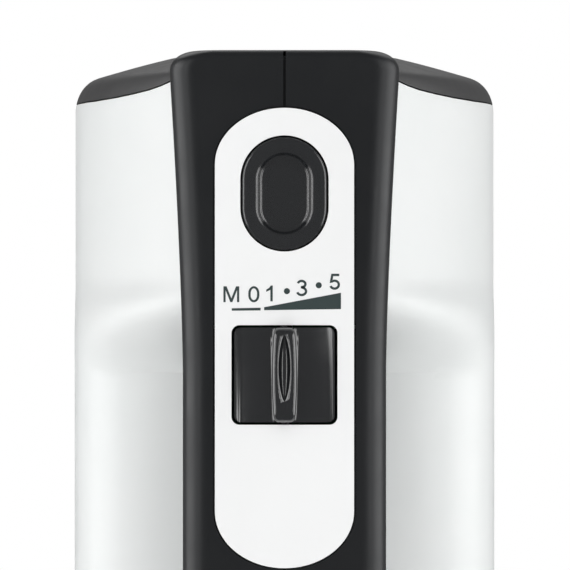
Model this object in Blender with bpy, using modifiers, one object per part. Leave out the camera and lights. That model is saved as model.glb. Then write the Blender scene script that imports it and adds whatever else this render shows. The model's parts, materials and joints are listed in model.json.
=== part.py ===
"""A two-whisk hand mixer with a heel port for a blending foot.

Millimetres times MM, +Z up. The mixer stands on its heel: Z runs from the heel (0) to the nose,
X across, and depth runs from the grip's outer face (0) along +Y to the whisk tips.
"""

from math import cos, hypot, pi, radians, sin, sqrt

import bmesh
import bpy
from mathutils import Matrix, Vector
from mathutils.geometry import interpolate_bezier

MM = 0.001
GAP = 0.3
WALL = 2.2

# Housing
DEPTH_MID = 140.0
BODY_HALF = 43.0
AXIS_DEPTH = 93.0
SADDLE_DEPTH = 62.0
NOSE_RISE_DEPTH = 14.0
HEEL_RISE_DEPTH = 22.0
BELLY_DEPTH = 122.0
GEAR_BELLY_DEPTH = 140.0
NOSE_Z = 202.6
NOSE_ROUND_Z = 191.5
NOSE_CORNER = (5.5, 7.0)
NOSE_CORNER_END = 0.97
NOSE_SLOPE = 3.5
NOSE_TILT = 45.0
HEEL_CAP_Z = (2.8, 12.0)
SHELL_Z = 12.3
OPENING_Z = (38.0, 138.0)
RISE_LENGTH = 20.0

# Handle column
GRIP_HALF = 19.1
NOSE_FLARE = 2.4
GRIP_DEPTH = 31.0
COLUMN_BACK = 60.0
COLUMN_Z = (9.3, 200.3)
COLUMN_CORNER = (5.5, 4.0)
COLUMN_EDGE = 2.0
CORNER = 5.0
CAVITY_HALF = 16.0
SKIN = 3.2

# Depth and height of the cord's way in, through the right shell into the rear pillar
CORD_INLET = (47.0, 22.0)

# Ribs across the handle's hollow, as (depth, z) corners: two hold the selector's shaft, one the spring
HANDLE_RIBS = (
    ("rib_lower", (12.5, 126.0), (20.0, 129.5)),
    ("rib_upper", (12.5, 149.5), (20.0, 153.0)),
    ("rib_spring", (24.5, 158.0), (26.5, 200.0)),
)

# Control panel, ejector button and selector
PANEL_Z = (103.4, 189.4)
PANEL_HALF = 13.0
PANEL_END = 10.6
PANEL_FACE = -0.5
PANEL_BACK = 1.6
BUTTON_Z = 173.4
BUTTON_HALF = (7.95, 10.55)
RECESS_HALF = (4.85, 7.05)
BUTTON_FACE = -0.6
SELECTOR_Z = 139.5
WINDOW_HALF = (9.9, 9.3)
SELECTOR_DEPTH = 16.2
SELECTOR_RADIUS = 15.2
SELECTOR_WALL = 2.2
CAP_CREST = 17.1
CAP_EDGE = 18.2
CAP_ANGLE = 31.0
SELECTOR_HALF_Z = 8.85
FIN_TIP = 19.5
FIN_HALF = 2.35
EJECTOR_Z = 168.0
EJECTOR_R = 2.6
HANDLE_SCREW_Z = {"rear": 58.0, "front": 99.5}
HANDLE_SCREW_DEPTH = 9.0

# Drive
SPINDLE_X = 19.5
SPINDLE_Z = 164.0
SPINDLE_R = 5.5
BORE_R = 3.3
SPINDLE_DEPTHS = (74.0, 139.0)
SHAFT_R = 2.5
STACK_Z = (52.0, 92.0)
ROTOR_R = 14.0
WHEEL_TEETH = 30
MODULE = 1.0
WHEEL_R = WHEEL_TEETH * MODULE / 2
WORM_R = SPINDLE_X - WHEEL_R
THREAD_PITCH = pi * MODULE
WORM_Z = (150.0, 178.0)
BRUSH_Z = 38.5

PLATE_SCREW_Z = {"lower": 154.0, "upper": 174.0}

# Whisks
WHISK_R = 23.0
WIRE_R = 1.0
STEM_DEPTHS = (79.0, 205.0)
WHISK_TIP = 283.3


def clear_scene():
    for old in list(bpy.data.objects):
        bpy.data.objects.remove(old, do_unlink=True)


def collection(name):
    made = bpy.data.collections.new(name)
    bpy.context.scene.collection.children.link(made)
    return made


clear_scene()
PARTS = collection("hand_mixer")
CUTTERS = collection("cutters")
MATERIALS = {}


def material(name, colour, roughness, metallic=0.0):
    made = bpy.data.materials.new(name)
    made.use_nodes = True
    shader = made.node_tree.nodes["Principled BSDF"]
    shader.inputs["Base Color"].default_value = (*colour, 1.0)
    shader.inputs["Roughness"].default_value = roughness
    shader.inputs["Metallic"].default_value = metallic
    MATERIALS[name] = made


def make_materials():
    material("white_plastic", (0.88, 0.90, 0.89), 0.25)
    material("panel_plastic", (0.93, 0.94, 0.93), 0.2)
    material("anthracite_plastic", (0.022, 0.025, 0.028), 0.45)
    material("trim_plastic", (0.07, 0.07, 0.075), 0.4)
    material("rubber", (0.02, 0.02, 0.02), 0.8)
    material("inner_plastic", (0.55, 0.56, 0.55), 0.5)
    material("steel", (0.75, 0.76, 0.78), 0.2, 1.0)
    material("lamination", (0.35, 0.36, 0.38), 0.5, 1.0)
    material("copper", (0.72, 0.35, 0.18), 0.35, 1.0)
    material("carbon", (0.03, 0.03, 0.03), 0.7)
    material("nylon", (0.85, 0.83, 0.74), 0.45)
    material("board", (0.05, 0.25, 0.12), 0.5)


def at(x, depth, z):
    """A point from its width, depth and height in millimetres."""
    return Vector((x, depth - DEPTH_MID, z)) * MM


def add_object(name, data, paint, group=None):
    made = bpy.data.objects.new(name, data)
    (group or PARTS).objects.link(made)
    if paint:
        data.materials.append(MATERIALS[paint])
    if group is CUTTERS:
        made.hide_render = True
        made.display_type = "WIRE"
    return made


def smooth(mesh, angle=35):
    mesh.shade_smooth()
    mesh.set_sharp_from_angle(angle=radians(angle))


def add_bmesh(name, shape, paint, group=None):
    bmesh.ops.recalc_face_normals(shape, faces=shape.faces)
    mesh = bpy.data.meshes.new(name)
    shape.to_mesh(mesh)
    shape.free()
    smooth(mesh)
    return add_object(name, mesh, paint, group)


def block(name, low, high, paint=None, group=None, round_edges=0.0):
    """A box between two corners given as width, depth and height."""
    shape = bmesh.new()
    bmesh.ops.create_cube(shape, size=1.0)
    low, high = at(*low), at(*high)
    bmesh.ops.scale(shape, vec=high - low, verts=shape.verts)
    bmesh.ops.translate(shape, vec=(low + high) / 2, verts=shape.verts)
    made = add_bmesh(name, shape, paint, group)
    if round_edges:
        bevel(made, round_edges)
    return made


def bevel(piece, width, segments=2, angle=40):
    made = piece.modifiers.new("edges", "BEVEL")
    made.width = width * MM
    made.segments = segments
    made.limit_method = "ANGLE"
    made.angle_limit = radians(angle)


def boolean(piece, operation, others, solver):
    for other in others:
        made = piece.modifiers.new(operation.lower(), "BOOLEAN")
        made.operation = operation
        made.solver = solver
        made.object = other


def cut(piece, *cutters, solver="EXACT"):
    boolean(piece, "DIFFERENCE", cutters, solver)


def join(piece, *others, solver="EXACT"):
    boolean(piece, "UNION", others, solver)


TURN = {"Z": (0, 0, 0), "Y": (radians(90), 0, 0), "X": (radians(90), 0, radians(90))}


def meshed(curve, paint, group=None):
    """A curve object turned into a mesh object with its caps welded."""
    graph = bpy.context.evaluated_depsgraph_get()
    mesh = bpy.data.meshes.new_from_object(curve.evaluated_get(graph))
    shape = bmesh.new()
    shape.from_mesh(mesh)
    bmesh.ops.remove_doubles(shape, verts=shape.verts, dist=1e-6)
    bmesh.ops.recalc_face_normals(shape, faces=shape.faces)
    shape.to_mesh(mesh)
    shape.free()
    smooth(mesh)
    mesh.materials.clear()
    name = curve.name
    matrix = curve.matrix_world.copy()
    bpy.data.objects.remove(curve)
    made = add_object(name, mesh, paint, group)
    made.matrix_world = matrix
    return made


def flat(name, outlines, axis, low, high, paint=None, group=None):
    """Outlines, the first one outer and the rest holes, drawn thick between two places on an axis.

    Along Z an outline holds (x, depth), along Y (x, z), and along X (depth, z).
    """
    curve = bpy.data.curves.new(name, "CURVE")
    curve.dimensions = "2D"
    curve.fill_mode = "BOTH"
    curve.extrude = (high - low) / 2 * MM
    shift = {"Z": (0, -DEPTH_MID), "Y": (0, 0), "X": (-DEPTH_MID, 0)}[axis]
    for outline in outlines:
        spline = curve.splines.new("POLY")
        spline.points.add(len(outline) - 1)
        for point, (a, b) in zip(spline.points, outline):
            point.co = ((a + shift[0]) * MM, (b + shift[1]) * MM, 0, 1)
        spline.use_cyclic_u = True
    made = add_object(name, curve, None, group)
    made.rotation_euler = TURN[axis]
    middle = (low + high) / 2
    made.location = {
        "Z": (0, 0, middle * MM),
        "Y": (0, (middle - DEPTH_MID) * MM, 0),
        "X": (middle * MM, 0, 0),
    }[axis]
    bpy.context.view_layer.update()
    return meshed(made, paint, group)


def lathe(name, profile, axis, foot, paint=None, group=None, steps=32, closed=False):
    """A turned piece: (radius, height) from the top down its outer side, on an axis from foot."""
    shape = bmesh.new()
    corners = [shape.verts.new((radius * MM, 0, height * MM)) for radius, height in profile]
    pairs = list(zip(corners, corners[1:]))
    if closed:
        pairs.append((corners[-1], corners[0]))
    for first, second in pairs:
        shape.edges.new((first, second))
    mesh = bpy.data.meshes.new(name)
    shape.to_mesh(mesh)
    shape.free()
    made = add_object(name, mesh, paint, group)
    made.rotation_euler = {"Z": (0, 0, 0), "Y": (radians(-90), 0, 0), "X": (0, radians(90), 0)}[axis]
    made.location = at(*foot)
    turn = made.modifiers.new("turn", "SCREW")
    turn.steps = steps
    turn.render_steps = steps
    turn.use_smooth_shade = True
    turn.use_merge_vertices = True
    turn.merge_threshold = 1e-5
    return made


def rod(name, axis, foot, radius, length, paint=None, group=None, steps=24):
    profile = [(0, length), (radius, length), (radius, 0), (0, 0)]
    return lathe(name, profile, axis, foot, paint, group, steps)


def sleeve(name, axis, foot, outer, inner, length, paint=None, steps=20):
    profile = [(inner, length), (outer, length), (outer, 0), (inner, 0)]
    return lathe(name, profile, axis, foot, paint, None, steps, closed=True)


def arc(centre, radii, start, end, count):
    """Points on an arc, its angles in degrees."""
    found = []
    for k in range(count + 1):
        angle = radians(start + (end - start) * k / count)
        found.append((centre[0] + radii[0] * cos(angle), centre[1] + radii[1] * sin(angle)))
    return found


def circle(centre, radius, count=24):
    return arc(centre, (radius, radius), 0, 360, count)[:-1]


def oblong(centre, half_width, half_height, end, count=12):
    """Straight sides closed by two half ellipses."""
    x, z = centre
    straight = half_height - end
    top = arc((x, z + straight), (half_width, end), 0, 180, count)
    bottom = arc((x, z - straight), (half_width, end), 180, 360, count)
    return top + bottom


def rounded(centre, half_width, half_height, corner, count=4):
    x, z = centre
    inner = (half_width - corner, half_height - corner)
    points = []
    for k, (sx, sz) in enumerate(((1, 1), (-1, 1), (-1, -1), (1, -1))):
        middle = (x + sx * inner[0], z + sz * inner[1])
        points += arc(middle, (corner, corner), 90 * k, 90 * k + 90, count)
    return points


def toothed(centre, teeth, root, tip, root_share, tip_share, turn=0.0):
    """A rim of straight-sided teeth; the shares are each tooth's part of the pitch at root and tip."""
    pitch = 2 * pi / teeth
    points = []
    for k in range(teeth):
        middle = k * pitch + turn
        for radius, side in ((root, -root_share), (tip, -tip_share), (tip, tip_share), (root, root_share)):
            angle = middle + side * pitch / 2
            points.append((centre[0] + radius * cos(angle), centre[1] + radius * sin(angle)))
    return points


def loft(name, rings, paint=None, group=None, closed=False):
    """Closed rings of equal counts joined in a row, either capped at both ends or closed on themselves."""
    shape = bmesh.new()
    rows = [[shape.verts.new(at(*point)) for point in ring] for ring in rings]
    count = len(rows[0])
    for lower, upper in zip(rows, rows[1:] + rows[:1] if closed else rows[1:]):
        for k in range(count):
            following = (k + 1) % count
            shape.faces.new((lower[k], lower[following], upper[following], upper[k]))
    if not closed:
        shape.faces.new(rows[0])
        shape.faces.new(rows[-1])
    bmesh.ops.triangulate(shape, faces=shape.faces)
    return add_bmesh(name, shape, paint, group)


def pivot(piece, point):
    """Moves a piece's origin to a point without moving its shape."""
    bpy.context.view_layer.update()
    move = piece.matrix_world.inverted() @ at(*point)
    piece.data.transform(Matrix.Translation(-move))
    piece.matrix_world = piece.matrix_world @ Matrix.Translation(move)


def ease(value, start, end):
    """A smooth step from 0 to 1."""
    t = min(max((value - start) / (end - start), 0.0), 1.0)
    return t * t * (3 - 2 * t)


# ---- Housing ----


def nose_inset(z):
    """How far the body has drawn in towards the nose: round a corner, then up a shallow slope."""
    inset, height = NOSE_CORNER
    up = max((z - NOSE_ROUND_Z) / height, 0.0)
    corner = inset * (1 - sqrt(1 - min(up, NOSE_CORNER_END) ** 2))
    return corner + NOSE_SLOPE * height * max(up - NOSE_CORNER_END, 0.0)


def body_ring(z, inset=0.0, count=36):
    """The motor body's section: a boxy waist that rises into a bell at the heel and at the nose."""
    rear, front = OPENING_Z
    saddle = ease(z, rear - RISE_LENGTH, rear) * (1 - ease(z, front, front + RISE_LENGTH))
    rise = HEEL_RISE_DEPTH if z < (rear + front) / 2 else NOSE_RISE_DEPTH
    belly = BELLY_DEPTH + (GEAR_BELLY_DEPTH - BELLY_DEPTH) * ease(z, 112, 140)
    drawn = nose_inset(z + inset)
    half = BODY_HALF - inset - drawn
    top = rise + (SADDLE_DEPTH - rise) * saddle + inset + NOSE_TILT * (drawn / nose_inset(NOSE_Z)) ** 3
    bottom = belly - inset - drawn
    deep = 1.9 + 1.5 * saddle
    wide = 1.05 + 2.35 * saddle
    ring = []
    for k in range(count):
        angle = 2 * pi * (k + 0.5) / count
        across, along = cos(angle), sin(angle)
        powers = (2.8, 2.8, bottom - AXIS_DEPTH) if along > 0 else (deep, wide, AXIS_DEPTH - top)
        side = 1 if across > 0 else -1
        x = side * half * abs(across) ** (2 / powers[1])
        depth = AXIS_DEPTH + (1 if along > 0 else -1) * powers[2] * abs(along) ** (2 / powers[0])
        ring.append((x, depth, z))
    return ring


def body_loft(name, inset, low, high, paint=None, group=None):
    stations = [23, 28, 33, 38, 115, 125, 138, 144, 151, 158, 190, 193.5, 195.5, 197, 198.3, 200.5]
    inside = [z for z in stations if low + 0.8 < z < high - 0.4]
    return loft(name, [body_ring(z, inset) for z in [low, *inside, high]], paint, group)


def top_round(z, height):
    """How far a quarter round has drawn in: 0 below it, and 1 at the column's top."""
    up = max((z - COLUMN_Z[1]) / height + 1, 0.0)
    return 1 - sqrt(1 - up**2)


def column_ring(z, grow=0.0, back=COLUMN_BACK):
    """The handle column's section, square behind and rounded on its outer face and at its top."""
    level, z = z, min(z, COLUMN_Z[1])
    behind = 1 - ease(z, COLUMN_Z[0], 22)
    half = GRIP_HALF + NOSE_FLARE * max((z - 140) / 55, 0) ** 1.4 + 1.2 * max((40 - z) / 30, 0) ** 2
    half += grow - COLUMN_CORNER[0] * top_round(z, COLUMN_CORNER[1])
    front = COLUMN_EDGE * top_round(z, COLUMN_EDGE) + 9 * behind**2 - grow
    corner = CORNER + grow
    points = arc((-half + corner, front + corner), (corner, corner), 180, 270, 5)
    points += arc((half - corner, front + corner), (corner, corner), 270, 360, 5)
    points += [(half, back + grow), (-half, back + grow)]
    return [(x, depth, level) for x, depth in points]


def column_loft(name, grow=0.0, paint=None, group=None):
    """The column, or a space for it when grown, which then goes on over its top."""
    low, high = COLUMN_Z
    stations = [low - grow, 11, 14, 18, 22, 30, 40, 90, 140, 152, 164, 176, 188]
    stations += [193, 196.3, 198.3, 199.3, 199.95]
    stations += [high + grow, 210] if grow > 0 else [high]
    return loft(name, [column_ring(z, grow) for z in stations], paint, group)


def seam_outline(shift=0.0):
    """The line where the white shells end and the nose cap begins, as (x, z)."""
    half = [(0, 196), (22, 195.9), (24, 195.1), (26.4, 194.4)]
    half += [(29.8, 193.8), (33.6, 193.3), (38, 193), (46, 193)]
    return [(-x, z + shift) for x, z in reversed(half[1:])] + [(x, z + shift) for x, z in half]


def make_cutters():
    made = {}
    made["column"] = column_loft("column_space", GAP, group=CUTTERS)
    made["hollow"] = body_loft("body_hollow", WALL, HEEL_CAP_Z[1] - 3, NOSE_Z - WALL, group=CUTTERS)
    below = seam_outline(GAP) + [(46, 0), (-46, 0)]
    made["below_seam"] = flat("below_seam", [below], "Y", -10, 150, group=CUTTERS)
    above = seam_outline() + [(46, 220), (-46, 220)]
    made["above_seam"] = flat("above_seam", [above], "Y", -10, 150, group=CUTTERS)
    made["right_side"] = block("right_side", (-GAP / 2, -20, -10), (60, 160, 220), group=CUTTERS)
    made["left_side"] = block("left_side", (-60, -20, -10), (GAP / 2, 160, 220), group=CUTTERS)
    made["plate_screws"] = [
        rod(f"plate_screw_hole_{name}", "Y", (0, 115, z), 1.8, 40, group=CUTTERS)
        for name, z in PLATE_SCREW_Z.items()
    ]
    made["sockets"] = []
    for side, name in ((-1, "left"), (1, "right")):
        foot = (side * SPINDLE_X, 115, SPINDLE_Z)
        made["sockets"].append(rod(f"socket_space_{name}", "Y", foot, 6.4, 40, group=CUTTERS))
    outline = [(SKIN, 14), (SKIN, 196), (66, 196), (66, 142), (GRIP_DEPTH - 3, 142)]
    outline += [(GRIP_DEPTH - 3, 34.5), (66, 34.5), (66, 14)]
    made["cavity"] = flat("handle_cavity", [outline], "X", -CAVITY_HALF, CAVITY_HALF, group=CUTTERS)
    for name, low, high in HANDLE_RIBS:
        cut(made["cavity"], block(name, (-20, *low), (20, *high), group=CUTTERS))
    rear, front = OPENING_Z
    corner = 13
    opening = [(80, rear)] + arc((GRIP_DEPTH + corner, rear + corner), (corner, corner), 270, 180, 6)
    opening += arc((GRIP_DEPTH + corner, front - corner), (corner, corner), 180, 90, 6) + [(80, front)]
    made["opening"] = flat("finger_opening", [opening[::-1]], "X", -30, 30, group=CUTTERS)
    seat = [panel_outline(GAP, 10)]
    made["panel_seat"] = flat("panel_seat", seat, "Y", -5, PANEL_BACK + GAP, group=CUTTERS)
    made["button_hole"] = flat("button_hole", [button_outline(GAP)], "Y", -5, 8, group=CUTTERS)
    low = (-CAVITY_HALF, PANEL_BACK + GAP / 2, SELECTOR_Z - WINDOW_HALF[1])
    high = (CAVITY_HALF, 8, SELECTOR_Z + WINDOW_HALF[1])
    made["selector_space"] = block("selector_space", low, high, group=CUTTERS)
    made["rod_hole"] = rod("rod_hole", "Y", (0, 20, EJECTOR_Z), EJECTOR_R + 0.4, 12, group=CUTTERS)
    made["shaft_hole"] = rod("shaft_hole", "Z", (0, SELECTOR_DEPTH, 120), 1.8, 40, group=CUTTERS)
    made["handle_screws"] = []
    profile = [(0, 24), (3.2, 24), (3.2, 17.3), (1.7, 17.3), (1.7, 0), (0, 0)]
    for name, z in HANDLE_SCREW_Z.items():
        foot = (0, HANDLE_SCREW_DEPTH, z)
        well = lathe(f"screw_well_{name}", profile, "X", foot, group=CUTTERS, steps=16)
        made["handle_screws"].append(well)
    return made


def panel_outline(grow=0.0, count=12):
    low, high = PANEL_Z
    return oblong((0, (low + high) / 2), PANEL_HALF + grow, (high - low) / 2 + grow, PANEL_END + grow, count)


def button_outline(grow=0.0, count=10):
    return oblong((0, BUTTON_Z), BUTTON_HALF[0] + grow, BUTTON_HALF[1] + grow, BUTTON_HALF[0] + grow, count)


def vent_cutters(side, name):
    """Cooling slots through one shell near the heel."""
    made = []
    for k in range(5):
        z = 22 + 6 * k
        low = (side * 30, 96, z)
        high = (side * 50, 112, z + 2.6)
        low, high = (min(low[0], high[0]), low[1], low[2]), (max(low[0], high[0]), high[1], high[2])
        made.append(block(f"vent_{name}_{k + 1}", low, high, group=CUTTERS))
    return made


def make_shells(tools):
    for side, name, other in ((-1, "left", "right_side"), (1, "right", "left_side")):
        shell = body_loft(f"side_shell_{name}", 0, SHELL_Z, NOSE_Z, "white_plastic")
        spaces = [tools["hollow"], tools[other], tools["above_seam"], tools["column"]]
        spaces += [tools["sockets"][side > 0], *vent_cutters(side, name), *tools["plate_screws"]]
        if name == "right":
            spaces.append(rod("inlet_space", "X", (10, *CORD_INLET), 6.2 + GAP, 40, group=CUTTERS))
        cut(shell, *spaces, solver="MANIFOLD")


def make_nose_cap(tools):
    cap = body_loft("nose_cap", 0, 188, NOSE_Z, "trim_plastic")
    cut(cap, tools["hollow"], tools["below_seam"], tools["column"], solver="MANIFOLD")


def make_handle(tools):
    for name, other in (("left", "right_side"), ("right", "left_side")):
        half = column_loft(f"handle_half_{name}", 0, "anthracite_plastic")
        cut(half, tools["cavity"], tools["opening"], tools[other], tools["panel_seat"])
        cut(half, tools["button_hole"], tools["selector_space"], tools["rod_hole"], tools["shaft_hole"])
        if name == "right":
            cut(half, *tools["handle_screws"])
            cut(half, rod("cord_hole", "X", (10, *CORD_INLET), 5.0 + GAP, 30, group=CUTTERS))


def make_heel():
    low, high = HEEL_CAP_Z
    cap = loft("heel_cap", [body_ring(z) for z in (low, high)], "anthracite_plastic")
    hollow = loft("heel_hollow", [body_ring(z, WALL) for z in (low + 2, high + 3)], group=CUTTERS)
    port = rod("port_hole", "Z", (0, AXIS_DEPTH, -5), 12, 12, group=CUTTERS)
    cut(cap, hollow, port, column_loft("heel_column_space", GAP + 0.01, group=CUTTERS), solver="MANIFOLD")
    pad = loft("heel_pad", [body_ring(z, 2.0) for z in (0, low - GAP)], "rubber")
    cut(pad, rod("pad_hole", "Z", (0, AXIS_DEPTH, -5), 14, 12, group=CUTTERS))
    for k, side in enumerate((-1, 1)):
        place = (side * 30, AXIS_DEPTH)
        hole = rod(f"heel_screw_hole_{k + 1}", "Z", (*place, -5), 1.8, 12, group=CUTTERS)
        cut(cap, hole, solver="MANIFOLD")
        cut(pad, rod(f"heel_screw_well_{k + 1}", "Z", (*place, -5), 3.6, 12, group=CUTTERS))
        profile = [(0, 9), (1.5, 9), (1.5, 2.5), (3, 2.5), (3, 0.9), (0, 0.9)]
        lathe(f"heel_screw_{('left', 'right')[k]}", profile, "Z", (*place, 0), "steel", steps=16)


def make_port_shutter():
    low = (-14.5, AXIS_DEPTH - 14.5, HEEL_CAP_Z[0] + 2.4)
    high = (14.5, AXIS_DEPTH + 14.5, HEEL_CAP_Z[0] + 4.2)
    shutter = block("port_shutter", low, high, "trim_plastic")
    cut(shutter, rod("shutter_dimple", "Z", (0, AXIS_DEPTH, low[2] - 4), 5, 4.9, group=CUTTERS, steps=16))
    pivot(shutter, (0, AXIS_DEPTH, low[2]))


def make_panel():
    window = rounded((0, SELECTOR_Z), *WINDOW_HALF, 1.4)
    outlines = [panel_outline(), button_outline(GAP), window]
    panel = flat("control_panel", outlines, "Y", PANEL_FACE, PANEL_BACK, "panel_plastic")
    low = (-12.4, 0.4, SELECTOR_Z - WINDOW_HALF[1] - 0.5)
    high = (12.4, 3.0, SELECTOR_Z + WINDOW_HALF[1] + 0.5)
    cut(panel, block("panel_relief", low, high, group=CUTTERS))


def make_cord_inlet():
    profile = [(3.2, 13.5), (5.2, 13.5), (6.2, 12.5), (6.2, 4.4), (5, 4.4), (5, 0), (3.2, 0)]
    lathe("cord_inlet", profile, "X", (17.0, *CORD_INLET), "rubber", closed=True, steps=24)


def make_socket_plate(tools):
    plate = flat("socket_plate", [rounded((0, SPINDLE_Z), 31, 15, 14, 6)], "Y", 125, 142.3, "trim_plastic")
    body = body_loft("body_face", -GAP, 100, NOSE_Z, group=CUTTERS)
    cut(plate, body, *tools["plate_screws"])
    for side, name in ((-1, "left"), (1, "right")):
        x = side * SPINDLE_X
        hole = rod(f"plate_hole_{name}", "Y", (x, 115, SPINDLE_Z), SPINDLE_R + 0.5, 40, group=CUTTERS)
        cut(plate, hole)


# ---- Controls ----


def make_ejector():
    button = flat("ejector_button", [button_outline()], "Y", BUTTON_FACE, 5.0, "anthracite_plastic")
    flange = flat("button_flange", [button_outline(1.8)], "Y", 3.7, 5.7, group=CUTTERS)
    recess = oblong((0, BUTTON_Z), *RECESS_HALF, RECESS_HALF[0], 8)
    join(button, flange)
    cut(button, flat("button_recess", [recess], "Y", -3, BUTTON_FACE + 1.3, group=CUTTERS))
    rod("ejector_rod", "Y", (0, 6.0, EJECTOR_Z), EJECTOR_R, 56.7, "inner_plastic", steps=16)
    yoke = block("ejector_yoke", (-23, 63, 157), (23, 67, 175), "inner_plastic")
    for side, name in ((-1, "left"), (1, "right")):
        foot = (side * SPINDLE_X, 66, SPINDLE_Z)
        join(yoke, rod(f"yoke_pin_{name}", "Y", foot, 2.3, 7, group=CUTTERS, steps=16))
    pivot(button, (0, BUTTON_FACE, BUTTON_Z))
    pivot(yoke, (0, 63, SPINDLE_Z))


def make_spring():
    """The ejector's return spring, drawn at its pressed length on its rib."""
    turns, radius, low, high = 4, 4.3, 12.0, 23.7
    steps = 11 * turns
    curve = bpy.data.curves.new("ejector_spring", "CURVE")
    curve.dimensions = "3D"
    curve.bevel_depth = 0.45 * MM
    curve.bevel_resolution = 1
    curve.use_fill_caps = True
    spline = curve.splines.new("POLY")
    spline.points.add(steps)
    for k, point in enumerate(spline.points):
        angle = 2 * pi * turns * k / steps
        depth = low + (high - low) * k / steps
        place = at(radius * cos(angle), depth, EJECTOR_Z + radius * sin(angle))
        point.co = (*place, 1)
    meshed(add_object("ejector_spring", curve, None), "steel")


def selector_point(radius, degrees):
    """A point about the selector's axis, measured from straight outwards."""
    return (radius * sin(radians(degrees)), SELECTOR_DEPTH - radius * cos(radians(degrees)))


def cap_radius(degrees):
    """The selector's face, a little flatter than a circle about its axis."""
    return CAP_CREST + (CAP_EDGE - CAP_CREST) * (degrees / CAP_ANGLE) ** 2


def make_selector():
    fin = [(1.2, FIN_TIP), (FIN_HALF - 0.4, FIN_TIP - 0.3), (FIN_HALF, FIN_TIP - 0.9), (FIN_HALF, 17.0)]
    half = [(x, SELECTOR_DEPTH - r) for x, r in fin]
    half += [selector_point(cap_radius(a), a) for a in (11, 16, 21, 26, CAP_ANGLE)]
    half += [selector_point(SELECTOR_RADIUS, a) for a in (31.5, 38, 46, 54, 62)]
    half += [selector_point(SELECTOR_RADIUS - SELECTOR_WALL, a) for a in range(62, 13, -6)]
    half += [selector_point(3.4, a) for a in range(40, 181, 20)]
    points = half + [(-x, depth) for x, depth in reversed(half[:-1])]
    bore = circle((0, SELECTOR_DEPTH), 1.8, 16)
    low, high = SELECTOR_Z - SELECTOR_HALF_Z, SELECTOR_Z + SELECTOR_HALF_Z
    knob = flat("speed_selector", [points, bore], "Z", low, high, "anthracite_plastic")
    pivot(knob, (0, SELECTOR_DEPTH, SELECTOR_Z))
    rod("selector_shaft", "Z", (0, SELECTOR_DEPTH, 126.5), 1.5, 26, "steel", steps=16)
    slider = block("speed_slider", (-4, 20.4, 135.5), (4, 22.8, 143.5), "inner_plastic")
    pivot(slider, (0, 20.4, SELECTOR_Z))


def make_electronics():
    block("control_board", (-12, 24.8, 62), (12, 26.4, 155), "board")
    rod("suppression_capacitor", "Z", (0, 18, 66), 5.5, 26, "inner_plastic")
    fins = [(-10, 24.4)]
    for k in range(5):
        x = -10 + 4.6 * k
        fins += [(x, 12), (x + 1.6, 12), (x + 1.6, 22), (x + 4.6, 22)]
    fins = fins[:-1] + [(10, 24.4)]
    flat("triac_heat_sink", [fins], "Z", 104, 120, "steel")
    block("terminal_block", (-8, 14, 40), (8, 24, 54), "inner_plastic", round_edges=0.6)


# ---- Drive ----


def make_stator():
    outline = rounded((0, AXIS_DEPTH), 27, 24.5, 9)
    holes = [circle((0, AXIS_DEPTH), ROTOR_R + 0.6, 32)]
    for across in (-1, 1):
        for along in (-1, 1):
            holes.append(rounded((across * 13.25, AXIS_DEPTH + along * 18.25), 2.2, 3.1, 0.2, 1))
    flat("motor_stator", [outline, *holes], "Z", *STACK_Z, "lamination")
    middle = (0, (STACK_Z[0] + STACK_Z[1]) / 2)
    for name, along in (("upper", -1), ("lower", 1)):
        ring = [rounded(middle, 15, 25.5, 2, 2), rounded(middle, 11.5, 20.6, 1, 1)]
        centre = AXIS_DEPTH + along * 18.25
        flat(f"field_coil_{name}", ring, "Y", centre - 2.7, centre + 2.7, "copper")


def make_brackets():
    """A bar across each end of the stack, holding a bearing, on two posts that reach the stack."""
    outlines = [rounded((0, AXIS_DEPTH), 28, 9.5, 3), circle((0, AXIS_DEPTH), 8.3)]
    ends = (("rear", 24.0, (29.0, STACK_Z[0] - GAP)), ("front", 128.0, (STACK_Z[1] + GAP, 129.0)))
    for name, low, posts in ends:
        bar = flat(f"{name}_bracket", outlines, "Z", low, low + 6, "lamination")
        for side in (-1, 1):
            foot = (side * 24.5, AXIS_DEPTH, posts[0])
            join(bar, rod(f"{name}_post_{side}", "Z", foot, 2, posts[1] - posts[0], group=CUTTERS, steps=12))
        sleeve(f"{name}_bearing", "Z", (0, AXIS_DEPTH, low + 0.5), 8, SHAFT_R + GAP, 5, "steel")


def brush_block(name, side, reach, half_deep, half_high, paint=None, group=None):
    """A block beside the commutator, between two distances from the armature's axis."""
    low, high = sorted((side * reach[0], side * reach[1]))
    near = (low, AXIS_DEPTH - half_deep, BRUSH_Z - half_high)
    far = (high, AXIS_DEPTH + half_deep, BRUSH_Z + half_high)
    return block(name, near, far, paint, group)


def make_brushes():
    for side, name in ((-1, "left"), (1, "right")):
        holder = brush_block(f"brush_holder_{name}", side, (10.5, 22), 4, 4, "inner_plastic")
        cut(holder, brush_block(f"brush_slot_{name}", side, (5, 20.5), 2.8, 2.8, group=CUTTERS))
        brush_block(f"carbon_brush_{name}", side, (9.4, 19), 2.5, 2.5, "carbon")


def worm_thread():
    """A single right-handed thread; it leaves a space facing the right wheel's middle tooth."""
    steps_per_turn = 12
    turns = int((WORM_Z[1] - WORM_Z[0]) / THREAD_PITCH) - 1
    start = SPINDLE_Z + THREAD_PITCH / 2 - THREAD_PITCH * (turns // 2)
    section = ((2.4, -0.62), (WORM_R + 1, -0.32), (WORM_R + 1, 0.32), (2.4, 0.62))
    rings = []
    for k in range(steps_per_turn * turns + 1):
        angle = 2 * pi * k / steps_per_turn
        z = start + THREAD_PITCH * k / steps_per_turn
        rings.append([(r * cos(angle), AXIS_DEPTH + r * sin(angle), z + up) for r, up in section])
    return loft("worm_thread", rings, group=CUTTERS)


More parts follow.
